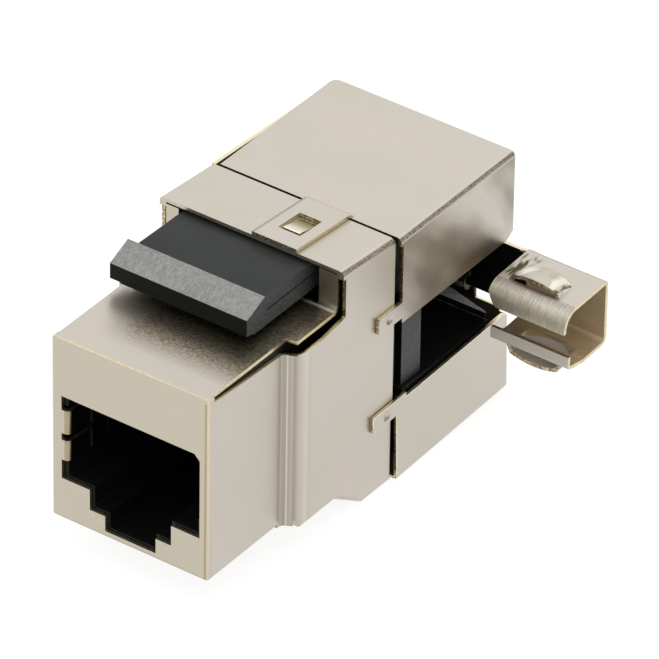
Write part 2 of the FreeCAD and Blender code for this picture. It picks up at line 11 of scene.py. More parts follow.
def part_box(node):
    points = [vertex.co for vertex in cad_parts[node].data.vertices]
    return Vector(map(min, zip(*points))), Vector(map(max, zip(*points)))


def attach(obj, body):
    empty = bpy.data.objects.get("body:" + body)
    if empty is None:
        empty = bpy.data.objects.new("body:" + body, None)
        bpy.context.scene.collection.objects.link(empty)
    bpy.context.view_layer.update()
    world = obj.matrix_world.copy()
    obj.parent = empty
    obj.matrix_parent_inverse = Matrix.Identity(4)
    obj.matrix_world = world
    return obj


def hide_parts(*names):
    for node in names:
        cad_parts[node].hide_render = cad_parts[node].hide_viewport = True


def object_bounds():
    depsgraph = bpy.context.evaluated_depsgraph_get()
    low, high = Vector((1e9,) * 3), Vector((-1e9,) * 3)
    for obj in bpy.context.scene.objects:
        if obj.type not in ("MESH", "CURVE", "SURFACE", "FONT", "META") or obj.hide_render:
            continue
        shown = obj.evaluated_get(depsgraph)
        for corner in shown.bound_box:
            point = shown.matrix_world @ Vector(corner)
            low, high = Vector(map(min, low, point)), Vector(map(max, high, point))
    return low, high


bl_info = {
    "name": "Keystone Jack",
    "version": (1, 0, 0),
    "blender": (4, 5, 0),
    "location": "3D View > Sidebar > Jack",
    "description": "Dresses a shielded keystone jack: plated sheet, mouldings, contacts, terminals",
    "category": "Object",
}

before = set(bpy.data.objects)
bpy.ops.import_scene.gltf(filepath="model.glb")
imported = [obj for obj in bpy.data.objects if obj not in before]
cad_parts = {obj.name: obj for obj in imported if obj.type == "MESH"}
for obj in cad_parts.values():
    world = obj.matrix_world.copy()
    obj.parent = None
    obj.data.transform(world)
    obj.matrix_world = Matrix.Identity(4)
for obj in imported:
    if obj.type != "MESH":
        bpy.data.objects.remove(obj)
CAD_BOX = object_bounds()
MM = 0.001
INF = math.inf
X, Y, Z = range(3)

# Places in mm: X from the nose's middle to the right, Y from the front face to the rear, and
# Z up from the nose's lower edge.
NOSE_LEFT, NOSE_TOP = -7.25, 16.35
SHOULDER_FRONT, SHOULDER_REAR = 8.3, 11.3
CATCH_FRONT, CATCH_REAR = 16.9, 19.2

SHEET = 0.3 * MM                            # thickness of every sheet part
THIN_EDGE = 0.03 * MM                       # rounding of the film's, board's and blades' edges
TRACK_PITCH = 1.6                           # mm between the board's copper tracks
JOIN = 0.0015 * MM                          # corners nearer than this are one corner
CLEAR = 0.001 * MM                          # what a cut may miss a plane by
HARD, SOFT = math.radians(55), math.radians(2.5)    # a cut edge's and a fold's least angles


def linear(code):
    """Linear colour of an sRGB hex value."""
    parts = [int(code[i:i + 2], 16) / 255 for i in (1, 3, 5)]
    return [c / 12.92 if c <= 0.04045 else ((c + 0.055) / 1.055) ** 2.4 for c in parts]


# ---- settings ------------------------------------------------------------------------------------

class JackSheetSettings(bpy.types.PropertyGroup):
    """Folded and plated sheet parts."""
    nickel: FloatVectorProperty(
        name="Nickel", description="Colour of the satin nickel plating",
        subtype="COLOR", size=3, min=0, max=1, default=linear("#cbc2b9"))
    nickel_shade: FloatVectorProperty(
        name="Cloud", description="Duller patches in the plating",
        subtype="COLOR", size=3, min=0, max=1, default=linear("#c6c1b3"))
    # Warmer colour used where the sheet faces the front.
    nickel_front: FloatVectorProperty(
        name="Front", description="Warmer colour where the sheet faces the front",
        subtype="COLOR", size=3, min=0, max=1, default=linear("#c8bfac"))
    # Colour of painted dark reflections, in patches on the upper cover's side.
    side_reflection: FloatVectorProperty(
        name="Side reflection", description="Painted dark reflection patches on the upper cover's side",
        subtype="COLOR", size=3, min=0, max=1, default=linear("#978f82"))
    sheared: FloatVectorProperty(
        name="Sheared edge", description="Bare brass that shows where the sheet was cut",
        subtype="COLOR", size=3, min=0, max=1, default=linear("#8c774a"))
    # Colour of the scores in a fold, darkened as painted shade.
    band: FloatVectorProperty(
        name="Fold", description="Scored plating in painted shade, below a fold's painted highlight",
        subtype="COLOR", size=3, min=0, max=1, default=linear("#5f573f"))
    roughness: FloatProperty(
        name="Roughness", description="Roughness of the flat plating",
        min=0, max=1, default=0.36)
    burr: FloatProperty(
        name="Edge width", description="Width of the rounded cut edge",
        subtype="DISTANCE", min=0, default=0.05 * MM)


class JackMouldingSettings(bpy.types.PropertyGroup):
    """Moulded plastic parts."""
    latch_black: FloatVectorProperty(
        name="Latch", description="Colour of the black latch",
        subtype="COLOR", size=3, min=0, max=1, default=linear("#2a2c2c"))
    scuffed: FloatVectorProperty(
        name="Scuffed ramp", description="Rubbed plastic on the latch's sloped lip",
        subtype="COLOR", size=3, min=0, max=1, default=linear("#8b8a86"))
    socket_black: FloatVectorProperty(
        name="Socket", description="Colour of the black socket and core",
        subtype="COLOR", size=3, min=0, max=1, default=linear("#0f0f0f"))
    block_white: FloatVectorProperty(
        name="Terminal block", description="Colour of the off-white terminal blocks",
        subtype="COLOR", size=3, min=0, max=1, default=linear("#d9d5c8"))
    latch_round: FloatProperty(
        name="Latch rounding", description="Radius of the latch's edges",
        subtype="DISTANCE", min=0, default=0.1 * MM)
    socket_round: FloatProperty(
        name="Socket rounding", description="Radius of the socket's edges",
        subtype="DISTANCE", min=0, default=0.05 * MM)


class JackWireSettings(bpy.types.PropertyGroup):
    """Contacts and terminal blades."""
    gold: FloatVectorProperty(
        name="Gold", description="Colour of the contact plating",
        subtype="COLOR", size=3, min=0, max=1, default=linear("#dcb35c"))
    tin: FloatVectorProperty(
        name="Tin", description="Colour of the tinned blades",
        subtype="COLOR", size=3, min=0, max=1, default=linear("#c9c9c6"))
    wire: FloatProperty(
        name="Wire", description="Diameter of a contact wire",
        subtype="DISTANCE", min=0, default=0.34 * MM)
    bend: FloatProperty(
        name="Bend", description="Radius of a contact's bends",
        subtype="DISTANCE", min=0, default=0.8 * MM)
    count: IntProperty(
        name="Contacts", description="Number of contacts and of blades", min=2, default=8)


class JackStageSettings(bpy.types.PropertyGroup):
    """Floor, lamps and camera."""
    azimuth: FloatProperty(
        name="Azimuth", description="Camera's turn to the right of the front face",
        subtype="ANGLE", default=math.radians(35.28))
    elevation: FloatProperty(
        name="Elevation", description="Camera's height above the horizon",
        subtype="ANGLE", default=math.radians(34.86))
    roll: FloatProperty(
        name="Roll", description="Camera's turn about its own axis",
        subtype="ANGLE", default=math.radians(0.93))
    distance: FloatProperty(
        name="Distance", description="Camera's distance from what it looks at",
        subtype="DISTANCE", default=643.5 * MM)
    lens: FloatProperty(
        name="Lens", description="Focal length in millimetres", default=469.6)
    key: FloatProperty(
        name="Key lamp", description="Power of the large soft lamp", subtype="POWER", default=0.2)


# ---- nodes ---------------------------------------------------------------------------------------

FACTOR, A, B, BLENDED = 0, 6, 7, 2          # a Mix node's sockets for colours
VALUE, START, END, LOW = 0, 1, 2, 3         # a Map Range node's inputs


def rgba(colour):
    """Opaque colour from a grey or from three parts."""
    return (*colour, 1.0) if hasattr(colour, "__len__") else (colour, colour, colour, 1.0)


def add(tree, kind, links=None, stops=(), **settings):
    """Add a node with its settings, its links and a colour ramp's (position, colour) stops.

    links maps input names or numbers to values, sockets, or nodes, whose first output is taken.
    """
    item = tree.nodes.new(kind)
    for key, value in settings.items():
        setattr(item, key, value)
    for key, value in (links or {}).items():
        socket = item.inputs[key]
        if isinstance(value, bpy.types.Node):
            value = value.outputs[0]
        if isinstance(value, bpy.types.NodeSocket):
            tree.links.new(value, socket)
        else:
            socket.default_value = rgba(value) if socket.type == "RGBA" else value
    if stops:
        marks = item.color_ramp.elements
        while len(marks) < len(stops):
            marks.new(0.5)
        for mark, (position, colour) in zip(marks, stops):
            mark.position = position
            mark.color = rgba(colour)
    return item


def measured(tree, axis, what="Object", unsigned=False):
    """Part along an axis of the place on the piece or of its normal, unsigned on request."""
    coords = add(tree, "ShaderNodeTexCoord").outputs[what]
    part = add(tree, "ShaderNodeSeparateXYZ", {0: coords}).outputs[axis]
    return add(tree, "ShaderNodeMath", {0: part}, operation="ABSOLUTE") if unsigned else part


def product(tree, first, *others):
    """Product of masks, which is 1 where all of them are."""
    for other in others:
        first = add(tree, "ShaderNodeMath", {0: first, 1: other}, operation="MULTIPLY")
    return first


def facing(tree, axis, limit):
    """1 where the surface faces along an axis, such as "-Y", by more than limit."""
    part = measured(tree, axis[1], "Normal")
    if axis[0] == "-":
        return add(tree, "ShaderNodeMath", {0: part, 1: -limit}, operation="LESS_THAN")
    return add(tree, "ShaderNodeMath", {0: part, 1: limit}, operation="GREATER_THAN")


def region(tree, *edges):
    """1 in a region and 0 outside; an edge is an axis, where 0 ends and where 1 starts, in mm."""
    return product(tree, *(add(tree, "ShaderNodeMapRange", {
        VALUE: measured(tree, axis), START: outer * MM, END: inner * MM})
        for axis, outer, inner in edges))


def mottle(tree, size, stretch=(1, 1, 1), detail=3.0, roughness=0.5, lean=0.0):
    """Mottling whose blotches are about size mm across, longer along stretched axes.

    lean turns the pattern about X, in degrees, before it is stretched.
    """
    place = add(tree, "ShaderNodeTexCoord").outputs["Object"]
    if lean:
        place = add(tree, "ShaderNodeMapping", {
            "Vector": place, "Rotation": (math.radians(lean), 0, 0)})
    scaled = add(tree, "ShaderNodeMapping", {
        "Vector": place, "Scale": [1 / (size * MM * s) for s in stretch]})
    return add(tree, "ShaderNodeTexNoise", {
        "Vector": scaled, "Scale": 1.0, "Detail": detail, "Roughness": roughness})


def layered(tree, base, *layers):
    """Base colour with layers over it, each (cover, colour) or (cover, colour, blend type)."""
    for cover, colour, *blend in layers:
        base = add(tree, "ShaderNodeMix", {FACTOR: cover, A: base, B: colour}, data_type="RGBA",
                   blend_type=blend[0] if blend else "MIX").outputs[BLENDED]
    return base


def material(name):
    """New material and its empty node tree."""
    made = bpy.data.materials.new(name)
    made.use_nodes = True
    made.node_tree.nodes.clear()
    return made, made.node_tree


def close(tree, base, roughness, bumps=(), metallic=1.0, shine=0.5):
    """Shader and output of a material; a bump is (height, strength, depth in mm)."""
    links = {"Base Color": base, "Roughness": roughness, "Metallic": metallic,
             "Specular IOR Level": shine}
    for height, strength, depth in bumps:
        bump = add(tree, "ShaderNodeBump", {
            "Height": height, "Strength": strength, "Distance": depth * MM})
        if "Normal" in links:
            tree.links.new(links["Normal"].outputs[0], bump.inputs["Normal"])
        links["Normal"] = bump
    shader = add(tree, "ShaderNodeBsdfPrincipled", links)
    add(tree, "ShaderNodeOutputMaterial", {"Surface": shader})


# ---- materials -----------------------------------------------------------------------------------

def shoulder_light(tree, base):
    """Pressed shoulder of the shield: painted shade in its hollow, painted highlights on one line
    and its bend.
    """
    depth = add(tree, "ShaderNodeMapRange", {
        VALUE: measured(tree, "Y"), START: SHOULDER_FRONT * MM, END: SHOULDER_REAR * MM})
    painted_light_tone = add(tree, "ShaderNodeValToRGB", {"Fac": depth}, stops=[
        (spot, (level, level, level - 0.16 * abs(1 - level))) for spot, level in (
            (0.0, 1.0), (0.14, 0.86), (0.23, 0.66), (0.27, 0.68), (0.28, 1.25), (0.3, 0.72),
            (0.33, 0.86), (0.37, 0.64), (0.44, 0.9), (0.55, 1.0), (0.7, 1.1), (0.8, 0.95),
            (1.0, 1.0))])
    upright = add(tree, "ShaderNodeMath", {
        0: measured(tree, "Z", "Normal", unsigned=True), 1: 0.3}, operation="LESS_THAN")
    return layered(tree, base, (upright, painted_light_tone, "MULTIPLY"))


def latch_shade(tree, base):
    """Painted shadow of the latch: speckled darkening on the low roof under it."""
    below_latch = region(tree, ("X", -5.2, -2.4), ("Y", 2.0, 4.4), ("Z", 16.601, 16.6))
    speckle = mottle(tree, 0.14, (2, 1, 1), 4.0, 0.75)
    painted_light_tone = add(tree, "ShaderNodeValToRGB", {"Fac": speckle}, stops=[
        (0.36, linear("#857f6e")), (0.64, linear("#ece6d8"))])
    cover = product(tree, below_latch, facing(tree, "+Z", 0.7))
    return layered(tree, base, (cover, painted_light_tone, "MULTIPLY"))


def tongue_edge_shade(tree, base):
    """Painted shade: a soft darker line where the tongue's left edge is rounded over."""
    line = region(tree, ("X", 0.04, 0.08), ("X", 0.34, 0.12), ("Y", 21.701, 21.7))
    return layered(tree, base, (line, linear("#c4c2bb"), "MULTIPLY"))


def painted_crease_shade(tree, base):
    """Painted shade of two crease lines in the clamp's upper flange beside its louvre."""
    beside = region(tree, ("X", 10.6, 10.8), ("X", 12.6, 12.1), ("Y", 32.2, 32.7),
                    ("Y", 35.7, 35.2), ("Z", 11, 11.001))
    fold = add(tree, "ShaderNodeMapRange", {
        VALUE: mottle(tree, 0.34, (1, 5, 1), 2.0, 0.6), START: 0.54, END: 0.42})
    return layered(tree, base, (product(tree, fold, beside), linear("#6f6553"), "MULTIPLY"))


def satin_nickel(name, settings, patches=0.0, shadowed=0.0, shield=False, crease_shading=False):
    """Satin nickel on rolled sheet: pinkish grey, soft reflections, fine grain as rolled."""
    made, tree = material(name)
    front = facing(tree, "-Y", 0.7)
    # Rolling lines are about 0.02 mm apart; drawn 0.1 mm wide so that they show.
    grain = layered(tree, mottle(tree, 0.1, (1, 30, 1), 2.0),
                    (front, mottle(tree, 0.1, (1, 1, 30), 2.0)))
    cloud = add(tree, "ShaderNodeMapRange", {VALUE: mottle(tree, 5), START: 0.3, END: 0.7})
    pits = add(tree, "ShaderNodeMapRange", {
        VALUE: mottle(tree, 0.16, detail=4.0, roughness=0.7), START: 0.3, END: 0.46, LOW: 0.72})
    base = layered(tree, settings.nickel_shade, (cloud, settings.nickel),
                   (product(tree, front, 0.85), settings.nickel_front),
                   (product(tree, front, 0.4), pits, "MULTIPLY"), (0.05, grain, "OVERLAY"))
    if patches:
        # Painted reflection: darker patches on the faces that look to the right.
        blotch = add(tree, "ShaderNodeMapRange", {
            VALUE: mottle(tree, 2.4, (1, 2.4, 1), 1.5, 0.4, 46), START: 0.6, END: 0.34})
        cover = product(tree, blotch, facing(tree, "+X", 0.8), patches)
        base = tongue_edge_shade(tree, layered(tree, base, (cover, settings.side_reflection)))
    # Painted shade: a darker copy of the plating.
    if shadowed:
        base = layered(tree, base, (shadowed, linear("#3a362f")))
    if shield:
        base = latch_shade(tree, shoulder_light(tree, base))
    # Painted shade in the clamp's upper flange, along two crease lines.
    if crease_shading:
        base = painted_crease_shade(tree, base)
    rough = add(tree, "ShaderNodeMath", {0: grain, 1: 0.08, 2: settings.roughness - 0.04},
                operation="MULTIPLY_ADD")
    close(tree, base, rough, [(mottle(tree, 0.25, detail=2.0), 0.06, 0.01), (grain, 0.07, 0.01)])
    return made


def sheared_edge(name, settings):
    """Cut edge of plated brass sheet: torn brown brass, painted lighter where the cut faces
    sideways or up.
    """
    made, tree = material(name)
    tear = mottle(tree, 0.16, detail=4.0, roughness=0.65)
    torn = add(tree, "ShaderNodeMapRange", {VALUE: tear, START: 0.45, END: 0.62})
    # Painted light: lighter where the cut faces sideways or up.
    base = layered(tree, settings.sheared,
                   (facing(tree, "+X", 0.7), linear("#d3c49a")),
                   (facing(tree, "-X", 0.7), linear("#d3c49a")),
                   (facing(tree, "+Z", 0.6), linear("#e6dab5")), (torn, linear("#ebe1c6")))
    close(tree, base, 0.34, [(tear, 0.3, 0.02)])
    return made


def folded_band(name, settings, shield=False):
    """Outside of a fold: smooth where it stands upright, brassy at the very front.

    Where the fold lies level, a painted highlight runs along its top, and the scored plating below
    it is darkened by painted shade that follows the fold's tilt. The front folds carry a painted
    highlight line, tinted brass, along their middle.
    """
    made, tree = material(name)
    upward = measured(tree, "Z", "Normal")
    # Die scores are a few hundredths wide; drawn 0.1 mm wide so that they show.
    score = mottle(tree, 0.1, (1, 2, 1), 5.0, 0.7)
    outer = add(tree, "ShaderNodeMath", {0: measured(tree, "X", unsigned=True), 1: 6.95 * MM},
                operation="GREATER_THAN")
    rim = add(tree, "ShaderNodeMath", {0: region(tree, ("Z", 15.9, 15.901)), 1: outer},
              operation="MAXIMUM")
    foremost = region(tree, ("Y", 1.001, 1.0))
    brassy = product(tree, foremost, rim)
    # By the normal's tilt: line is a painted highlight, strip painted shade, rubbed a painted
    # highlight.
    beside, above, strip, rubbed = (
        add(tree, "ShaderNodeValToRGB", {"Fac": value}, stops=stops) for value, stops in (
            (measured(tree, "X", "Normal", unsigned=True),
             [(0.3, 0.0), (0.42, 0.55), (0.66, 0.55), (0.85, 0.0)]),
            (upward, [(0.2, 0.0), (0.34, 1.0), (0.72, 1.0), (0.86, 0.0)]),
            (upward, [(0.12, 0.0), (0.4, 1.0), (0.82, 1.0), (0.9, 0.0)]),
            (upward, [(0.88, 0.0), (0.93, 1.0), (0.975, 1.0), (0.995, 0.0)])))
    line = add(tree, "ShaderNodeMath", {0: beside, 1: above}, operation="MAXIMUM")
    gilt = layered(tree, linear("#e2c990"), (
        add(tree, "ShaderNodeMapRange", {VALUE: score, START: 0.4, END: 0.6}),
        linear("#f8edcf")))
    inner, plain = (add(tree, "ShaderNodeMath", {0: 1.0, 1: mask}, operation="SUBTRACT")
                    for mask in (rim, brassy))
    speckle = add(tree, "ShaderNodeMapRange", {VALUE: score, START: 0.66, END: 0.38, LOW: 0.3})
    base = layered(tree, settings.nickel,
                   (product(tree, brassy, facing(tree, "-Y", 0.9)), settings.nickel_front),
                   (product(tree, brassy, line), gilt),
                   (product(tree, foremost, inner), linear("#b3a486")),
                   (product(tree, strip, speckle, plain), settings.band),
                   (product(tree, rubbed, 0.3), linear("#eee6d2")))
    # The shield's folds take the shoulder's painted light and shade too.
    if shield:
        base = shoulder_light(tree, base)
    close(tree, base, 0.4, [(score, 0.12, 0.02)])
    return made


def drawn_roll(name, settings):
    """Sheet rolled over a die: fine draw marks run round the roll, painted light on its crown."""
    made, tree = material(name)
    marks = mottle(tree, 0.09, (1, 12, 12), 3.0, 0.7)
    # Painted light: the colour follows the normal's tilt, with a painted highlight where the roll
    # turns up.
    painted_light_tone = add(tree, "ShaderNodeValToRGB", {"Fac": measured(tree, "Z", "Normal")}, stops=[
        (0.0, linear("#d9d2bf")), (0.35, linear("#cfc8b4")), (0.62, linear("#e3dcca")),
        (0.82, linear("#f3ecdc")), (1.0, settings.nickel)])
    drawn = add(tree, "ShaderNodeMapRange", {VALUE: marks, START: 0.34, END: 0.64, LOW: 0.52})
    blotch = add(tree, "ShaderNodeMapRange", {
        VALUE: mottle(tree, 0.9), START: 0.35, END: 0.65, LOW: 0.7})
    base = layered(tree, painted_light_tone, (0.75, drawn, "MULTIPLY"), (0.4, blotch, "MULTIPLY"))
    close(tree, base, 0.36, [(marks, 0.3, 0.02)], metallic=0.8)
    return made


def grime(tree, size):
    """Fine specks of about size mm that darken worked plating a little."""
    return add(tree, "ShaderNodeMapRange", {
        VALUE: mottle(tree, size, detail=4.0, roughness=0.7), START: 0.35, END: 0.65, LOW: 0.6})


def louvre_light(name):
    """Plating over pressed sheet: painted highlights on the ridges, painted shade in the crease
    lines beside them.
    """
    made, tree = material(name)
    wander = mottle(tree, 0.9)
    # Painted light by the normal's tilt to the side: bright on the ridges, dark beside them.
    ridge = add(tree, "ShaderNodeMath", {
        0: wander, 1: 0.1, 2: measured(tree, "X", "Normal", unsigned=True)},
        operation="MULTIPLY_ADD")
    painted_light_tone = add(tree, "ShaderNodeValToRGB", {"Fac": ridge}, stops=[
        (0.05, linear("#cfc6b3")), (0.16, linear("#c2b9a5")), (0.24, linear("#f6f0e2")),
        (0.31, linear("#efe8d8")), (0.38, linear("#8f8570")), (0.5, linear("#7d735f"))])
    base = layered(tree, painted_light_tone, (0.2, grime(tree, 0.1), "MULTIPLY"))
    close(tree, base, 0.32, [(wander, 0.4, 0.1)])
    return made


def punched_light(name):
    """Pits and wedges made by a punch, in painted light: bright facing up, dark facing down."""
    made, tree = material(name)
    slope = add(tree, "ShaderNodeMapRange", {
        VALUE: measured(tree, "Z", "Normal"), START: -0.6, END: 0.6})
    slope_light = add(tree, "ShaderNodeValToRGB", {"Fac": slope}, stops=[
        (0.0, linear("#4d4433")), (0.42, linear("#8f8570")), (0.62, linear("#e9e2d0")),
        (1.0, linear("#f8f3e6"))])
    # Painted highlight on the catch's front, darker and olive towards its rear under the tongue.
    along = add(tree, "ShaderNodeMapRange", {
        VALUE: measured(tree, "Y"), START: CATCH_FRONT * MM, END: CATCH_REAR * MM})
    sheen = add(tree, "ShaderNodeValToRGB", {"Fac": along}, stops=[
        (0.0, linear("#f6f1e4")), (0.3, linear("#d6cebd")), (0.6, linear("#a0976f")),
        (1.0, linear("#6f673f"))])
    catch = region(tree, ("X", 4.001, 4), ("Z", 19, 19.001))
    close(tree, layered(tree, slope_light, (catch, sheen)), 0.3)
    return made


def painted_light_copy(name, dark=linear("#c2a984"), light=linear("#d9c39f")):
    """Painted shade inside the clamp: the plating darker and brown between its walls."""
    made, tree = material(name)
    cloud = add(tree, "ShaderNodeMapRange", {
        VALUE: mottle(tree, 2.2, (2, 1, 1)), START: 0.3, END: 0.7})
    base = layered(tree, dark, (cloud, light), (0.2, grime(tree, 0.12), "MULTIPLY"))
    close(tree, base, 0.42, metallic=0.3)
    return made


def lip_highlight(name):
    """Rounded lip along a cut: a painted highlight, near-white, so that it draws a thin light line.
    """
    made, tree = material(name)
    lip_mottle = add(tree, "ShaderNodeMapRange", {VALUE: mottle(tree, 0.6), START: 0.4, END: 0.6})
    close(tree, layered(tree, linear("#f6f1e2"), (lip_mottle, linear("#ddcca4"))), 0.28)
    return made


def moulded_plastic(name, colour, roughness, grain=0.15, scuff=0.0, shine=0.5,
                    pale=linear("#a3a29c")):
    """Moulded plastic with a spark-eroded texture, grain in mm, and on request pale scuffs."""
    made, tree = material(name)
    texture = mottle(tree, grain)
    flow = add(tree, "ShaderNodeMapRange", {
        VALUE: mottle(tree, 3, detail=2.0), START: 0.3, END: 0.7})
    base = layered(tree, [c * 0.85 for c in colour], (flow, [min(1, c * 1.12) for c in colour]))
    if scuff:
        rubbed = add(tree, "ShaderNodeMapRange", {
            VALUE: mottle(tree, 0.25, (1, 1.6, 1), 6.0, 0.8), START: 0.42, END: 0.64})
        base = layered(tree, base, (product(tree, rubbed, scuff), pale))
    rough = add(tree, "ShaderNodeMath", {0: texture, 1: 0.2, 2: roughness - 0.1},
                operation="MULTIPLY_ADD")
    close(tree, base, rough, [(texture, 0.25, 0.015)], metallic=0.0, shine=shine)
    return made


def plated_wire(name, colour, roughness):
    """Drawn and plated spring wire: bright, with faint die lines."""
    made, tree = material(name)
    lines = mottle(tree, 0.06, (1, 20, 1), 2.0)
    close(tree, layered(tree, colour, (0.2, lines, "OVERLAY")), roughness)
    return made


def solder_mask(name):
    """Green lacquer over glass laminate with copper tracks just visible under it."""
    made, tree = material(name)
    scaled = add(tree, "ShaderNodeMapping", {
        "Vector": add(tree, "ShaderNodeTexCoord").outputs["Object"],
        "Scale": [1 / (TRACK_PITCH * MM)] * 3})
    gaps = add(tree, "ShaderNodeTexVoronoi", {"Vector": scaled, "Scale": 1.0},
               feature="DISTANCE_TO_EDGE")
    track = add(tree, "ShaderNodeMapRange", {
        VALUE: gaps.outputs["Distance"], START: 0.09, END: 0.05})
    close(tree, layered(tree, linear("#163a20"), (track, linear("#2c5f36"))), 0.3, metallic=0.0)
    return made


# ---- dressing a CAD node -------------------------------------------------------------------------

# What a face of a sheet part is, as the number of its material.
# LIP carries a painted highlight, SHADED and INNER painted shade, and the last class a painted
# lighter copy.
FLAT, CUT, FOLD, LIP, SHADED, STRUCK, INNER, LIT_COPY = range(8)


def inside(point, low, high):
    """Whether a point lies in a box that is given in mm."""
    return all(a * MM < part < b * MM for a, part, b in zip(low, point, high))


def sheet_class(face, special):
    """Whether a face is a cut edge, a fold or flat sheet, from its width and its neighbours."""
    around = sum(edge.calc_length() for edge in face.edges)
    width = 2 * face.calc_area() / around
    hard = soft = 0.0
    for edge in face.edges:
        angle = edge.calc_face_angle(0.0)
        if angle > HARD:
            hard += edge.calc_length()
        elif angle > SOFT:
            soft += edge.calc_length()
    if width < SHEET * 1.1 and hard > 0.75 * around:
        return CUT
    if soft > 0.45 * around and width < SHEET * 1.4:
        return FOLD
    found = special(face.calc_center_median(), face.normal) if special else None
    return FLAT if found is None else found


def merged_copy(node, adjust=None):
    """bmesh of a CAD node with its loose triangles joined and its flats dissolved."""
    work = bmesh.new()
    work.from_mesh(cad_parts[node].data)
    bmesh.ops.remove_doubles(work, verts=work.verts, dist=JOIN)
    if adjust:
        adjust(work)
    bmesh.ops.dissolve_degenerate(work, edges=work.edges, dist=JOIN)
    bmesh.ops.dissolve_limit(work, angle_limit=math.radians(0.6), verts=work.verts,
                             edges=work.edges, use_dissolve_boundaries=False)
    return work


def into_object(work, name):
    """Linked object with the mesh of a bmesh, which is freed."""
    mesh = bpy.data.meshes.new(name)
    work.to_mesh(mesh)
    work.free()
    piece = bpy.data.objects.new(name, mesh)
    bpy.context.scene.collection.objects.link(piece)
    return piece


def finish_piece(piece, body, nodes=()):
    """Put a piece on its body and in place of its CAD nodes."""
    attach(piece, body)
    if nodes:
        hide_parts(*nodes)


def soften(piece, width, segments=2, angle=50):
    """Bevel that rounds the edges sharper than angle degrees."""
    bevel = piece.modifiers.new("edge", "BEVEL")
    bevel.width = width
    bevel.segments = segments
    bevel.limit_method = "ANGLE"
    bevel.angle_limit = math.radians(angle)
    bevel.loop_slide = False
    return bevel


def bake_modifiers(piece):
    """Turn the evaluated piece into its plain mesh."""
    graph = bpy.context.evaluated_depsgraph_get()
    graph.update()
    mesh = bpy.data.meshes.new_from_object(piece.evaluated_get(graph))
    piece.modifiers.clear()
    piece.data = mesh


def smooth(piece, angle=32):
    """Shade smooth, with breaks at edges sharper than angle degrees."""
    for polygon in piece.data.polygons:
        polygon.use_smooth = True
    piece.data.set_sharp_from_angle(angle=math.radians(angle))
    piece.modifiers.new("weights", "WEIGHTED_NORMAL").keep_sharp = True


def dressed_sheet(node, name, settings, finishes, special=None, adjust=None, late=None):
    """Copy of a sheet node with cut edges, folds and rounded lips, in painted highlight, told
    apart.

    special gives the class of a flat face that isn't plain, from its middle and normal.
    adjust changes the copy first, and late gives the class of faces whatever their kind.
    """
    work = merged_copy(node, adjust)
    classes = [sheet_class(face, special) for face in work.faces]
    for face, kind in zip(work.faces, classes):
        face.material_index = kind
    piece = into_object(work, name)
    for finish in finishes:
        piece.data.materials.append(finish)
    soften(piece, settings.burr).material = LIP
    bake_modifiers(piece)
    for polygon in piece.data.polygons if late else ():
        found = late(polygon.center, polygon.normal)
        if found is not None:
            polygon.material_index = found
    smooth(piece)
    return piece


def dressed_moulding(node, name, width, finish, segments=2, adjust=None):
    """Copy of a CAD node in one finish, with its edges rounded to width."""
    piece = into_object(merged_copy(node, adjust), name)
    piece.data.materials.append(finish)
    soften(piece, width, segments, angle=35)
    bake_modifiers(piece)
    smooth(piece)
    return piece


def sheet_finishes(settings, patches=0.0, shield=False, crease_shading=False):
    """Materials of a sheet part, in the order of the classes FLAT, CUT, FOLD, LIP and SHADED."""
    return [satin_nickel("satin nickel", settings, patches, shield=shield, crease_shading=crease_shading),
            sheared_edge("sheared edge", settings), folded_band("folded band", settings, shield),
            lip_highlight("painted lip highlight"),
            # Painted shade: a darker copy of the plating, for places the light hardly reaches.
            satin_nickel("dull nickel", settings, shadowed=0.93)]


def round_corner(work, centre, radius, axes, near_corner):
    """Round a sharp outside corner of a sheet about centre, in the plane of two axes.

    centre has, for each axis, its place and the side on which the corner lies.
    Cuts are made across both walls first, so that only what lies by the corner moves. They
    stand at the sines of four equal steps round the quarter circle.
    """
    for axis, middle in zip(axes, centre):
        for share in (0.0, 0.38, 0.71, 0.92):
            point = [0.0, 0.0, 0.0]
            point[axis] = middle[0] + middle[1] * radius * share
            across = [0.0, 0.0, 0.0]
            across[axis] = 1.0
            near = [face for face in work.faces if any(near_corner(v.co) for v in face.verts)]
            near += {edge for face in near for edge in face.edges}
            near += {vertex for edge in near if isinstance(edge, bmesh.types.BMEdge)
                     for vertex in edge.verts}
            bmesh.ops.bisect_plane(work, geom=near, dist=CLEAR, plane_co=point, plane_no=across)
    for vertex in work.verts:
        if not near_corner(vertex.co):
            continue
        shift = [vertex.co[axis] - middle[0] for axis, middle in zip(axes, centre)]
        if all(part * middle[1] > -CLEAR for part, middle in zip(shift, centre)):
            reach = math.hypot(*shift)
            if reach > radius:
                for axis, middle, part in zip(axes, centre, shift):
                    vertex.co[axis] = middle[0] + part * radius / reach


# ---- operators -----------------------------------------------------------------------------------

